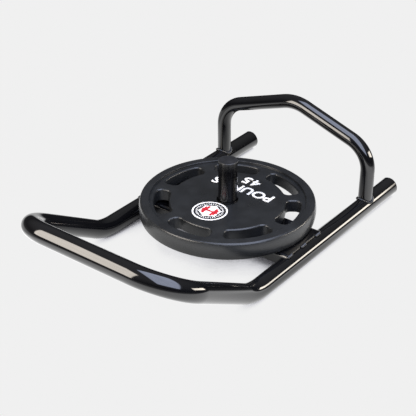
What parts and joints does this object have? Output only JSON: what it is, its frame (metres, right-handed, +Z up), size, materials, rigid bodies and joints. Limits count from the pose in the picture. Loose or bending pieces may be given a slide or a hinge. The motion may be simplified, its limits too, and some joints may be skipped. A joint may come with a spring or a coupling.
{
  "type": "drag sled",
  "caption": "Bent-tube drag sled with runners, low front bar, tall push hoop, and an upright post that carries a lift-off rubber weight plate.",
  "frame": {"origin": "on the floor, under the middle of the sled's length and width", "axes": "+Z up; +X to the sled's right, seen from behind the tall hoop; +Y to the rear, towards the tall hoop, along the runners"},
  "size_m": [0.5154, 0.9698, 0.278],
  "materials": {
    "frame_paint": "gloss black powder coat",
    "post_paint": "semi-gloss black powder coat",
    "cap_plastic": "black moulded plastic",
    "sleeve_steel": "black oxide steel",
    "plate_rubber": "satin black moulded rubber",
    "core_iron": "raw casting, hidden in the rubber",
    "inlay_white": "white moulded rubber",
    "inlay_black": "black moulded rubber",
    "inlay_red": "red moulded rubber"
  },
  "bodies": {
    "sled": {"runner_tube": "frame_paint", "push_hoop": "frame_paint", "deck_channel": "frame_paint", "weight_post": "post_paint", "post_weld": "frame_paint", "post_cap": "cap_plastic", "runner_plug_left": "cap_plastic", "runner_plug_right": "cap_plastic", "hoop_weld_left": "frame_paint", "hoop_weld_right": "frame_paint", "deck_weld_left_front": "frame_paint", "deck_weld_left_mid": "frame_paint", "deck_weld_left_rear": "frame_paint", "deck_weld_right_front": "frame_paint", "deck_weld_right_mid": "frame_paint", "deck_weld_right_rear": "frame_paint"},
    "hub_sleeve": {"hub_sleeve": "sleeve_steel"},
    "weight_plate": {"plate_casing": "plate_rubber", "plate_core": "core_iron", "badge_ring": "inlay_white", "badge_field": "inlay_black", "badge_hexagon": "inlay_white", "badge_mark": "inlay_red", "digit_4": "inlay_white", "digit_5": "inlay_white"}
  },
  "joints": [
    {"name": "plate_lift", "type": "slide", "parent": "sled", "child": "hub_sleeve", "axis": [0, 0, 1], "range_m": [0, 0.16]},
    {"name": "plate_spin", "type": "hinge", "parent": "hub_sleeve", "child": "weight_plate", "pos_m": [0, 0.05092, 0.08055], "axis": [0, 0, 1], "continuous": true}
  ]
}
